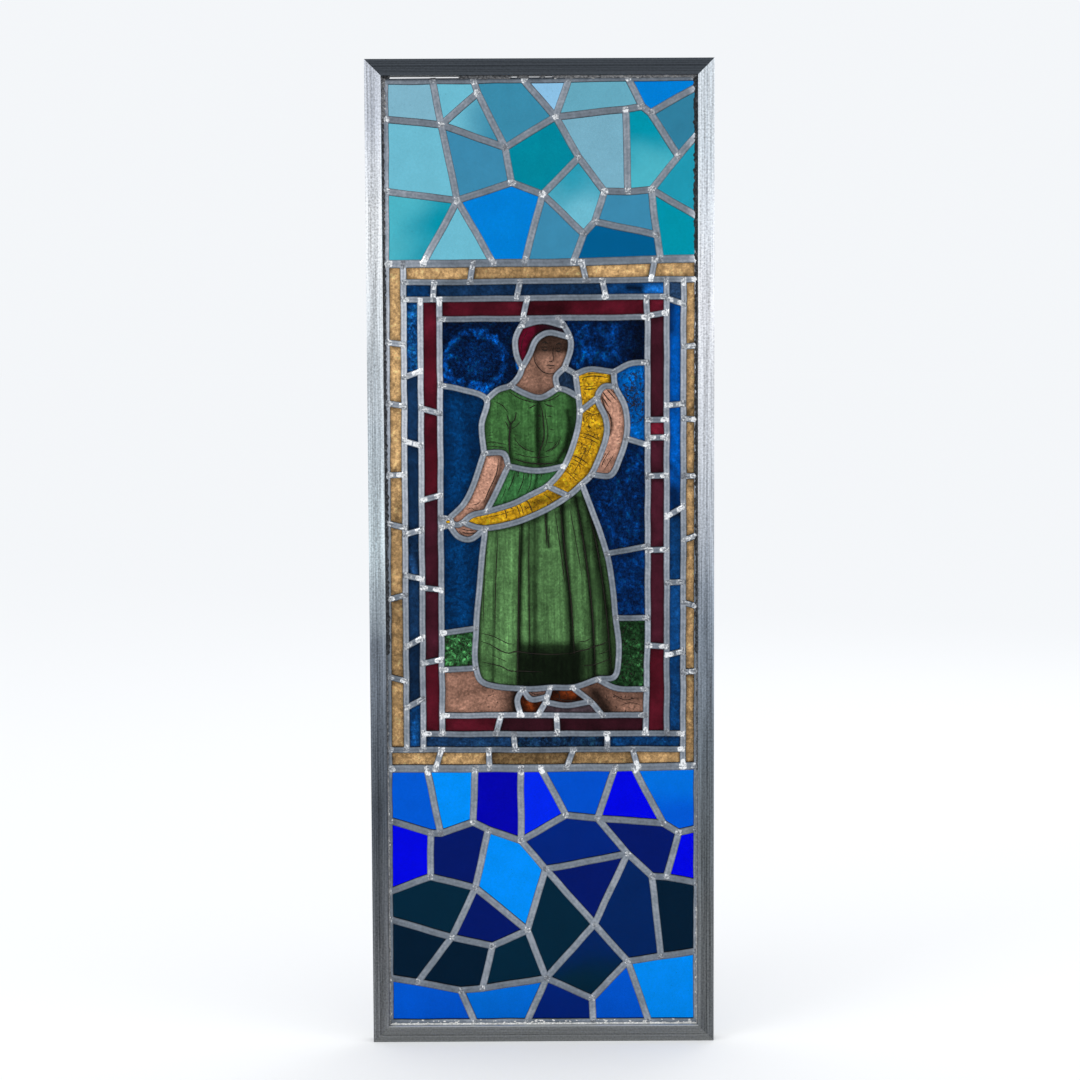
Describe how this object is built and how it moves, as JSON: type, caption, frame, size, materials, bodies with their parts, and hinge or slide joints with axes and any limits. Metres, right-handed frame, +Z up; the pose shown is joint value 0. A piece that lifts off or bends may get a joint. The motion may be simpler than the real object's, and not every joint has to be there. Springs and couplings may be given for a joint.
{
  "type": "stained glass window",
  "caption": "Tall leaded glass panel in a slim metal frame: mosaic glass above and below a bordered, painted figure with a long horn.",
  "frame": {"origin": "middle of the bottom rail's underside", "axes": "+Z up the window, +X to the right as seen from the front; the painted front faces -Y"},
  "size_m": [0.35, 0.02, 1],
  "materials": {
    "aluminium": "brushed along its length, dulled",
    "lead": "lead came, grey patina, bright tinned joints",
    "amber_glass": "mottled with brown matt paint",
    "border_blue_glass": "mottled with dark matt paint",
    "ruby_glass": "smooth, streaky",
    "aqua_glass": "smooth, with a few seeds",
    "slate_glass": "smooth, with a few seeds",
    "teal_glass": "smooth, shading from deep to pale",
    "azure_glass": "smooth",
    "royal_blue_glass": "smooth",
    "ultramarine_glass": "smooth",
    "navy_glass": "smooth",
    "midnight_glass": "smooth",
    "crimson_glass": "painted",
    "flesh_glass": "painted with brown trace lines and matt",
    "green_glass": "painted with folds in dark matt",
    "gold_glass": "yellow glass with brown bands",
    "brown_glass": "painted",
    "rock_glass": "stippled with matt paint",
    "foliage_glass": "painted leaves",
    "night_blue_glass": "mottled with dark matt paint"
  },
  "bodies": {
    "root": {"top_rail": "aluminium", "bottom_rail": "aluminium", "left_rail": "aluminium", "right_rail": "aluminium", "lead_cames": "lead", "amber_left_glass": "amber_glass", "amber_right_glass": "amber_glass", "amber_top_glass": "amber_glass", "amber_bottom_glass": "amber_glass", "blue_left_glass": "border_blue_glass", "blue_right_glass": "border_blue_glass", "blue_top_glass": "border_blue_glass", "blue_bottom_glass": "border_blue_glass", "red_left_glass": "ruby_glass", "red_right_glass": "ruby_glass", "red_top_glass": "ruby_glass", "red_bottom_glass": "ruby_glass", "upper_glass_pale_left": "aqua_glass", "upper_glass_slate": "slate_glass", "upper_glass_sky": "aqua_glass", "upper_glass_teal_right": "teal_glass", "upper_glass_teal_middle": "teal_glass", "upper_glass_azure_foot": "azure_glass", "upper_glass_steel": "slate_glass", "lower_glass_royal_left": "royal_blue_glass", "lower_glass_cobalt_top": "ultramarine_glass", "lower_glass_ultramarine_right": "ultramarine_glass", "lower_glass_navy_left": "navy_glass", "lower_glass_azure_heart": "azure_glass", "lower_glass_navy_right": "navy_glass", "lower_glass_midnight": "midnight_glass", "lower_glass_foot": "royal_blue_glass", "headscarf_glass": "crimson_glass", "face_glass": "flesh_glass", "bodice_glass": "green_glass", "waist_glass": "green_glass", "skirt_glass": "green_glass", "left_arm_glass": "flesh_glass", "left_hand_glass": "flesh_glass", "right_arm_glass": "flesh_glass", "instep_glass": "flesh_glass", "horn_bell_glass": "gold_glass", "horn_body_glass": "gold_glass", "horn_tail_glass": "gold_glass", "horn_mouthpiece_glass": "gold_glass", "left_shoe_glass": "brown_glass", "right_shoe_glass": "brown_glass", "right_sole_glass": "brown_glass", "left_rock_glass": "rock_glass", "right_rock_glass": "rock_glass", "left_foliage_glass": "foliage_glass", "right_foliage_glass": "foliage_glass", "sky_top_left_glass": "night_blue_glass", "sky_top_right_glass": "night_blue_glass", "sky_shoulder_glass": "night_blue_glass", "sky_left_glass": "night_blue_glass", "sky_lower_left_glass": "night_blue_glass", "sky_horn_glass": "night_blue_glass", "sky_right_glass": "night_blue_glass", "sky_lower_right_glass": "night_blue_glass"}
  },
  "joints": []
}
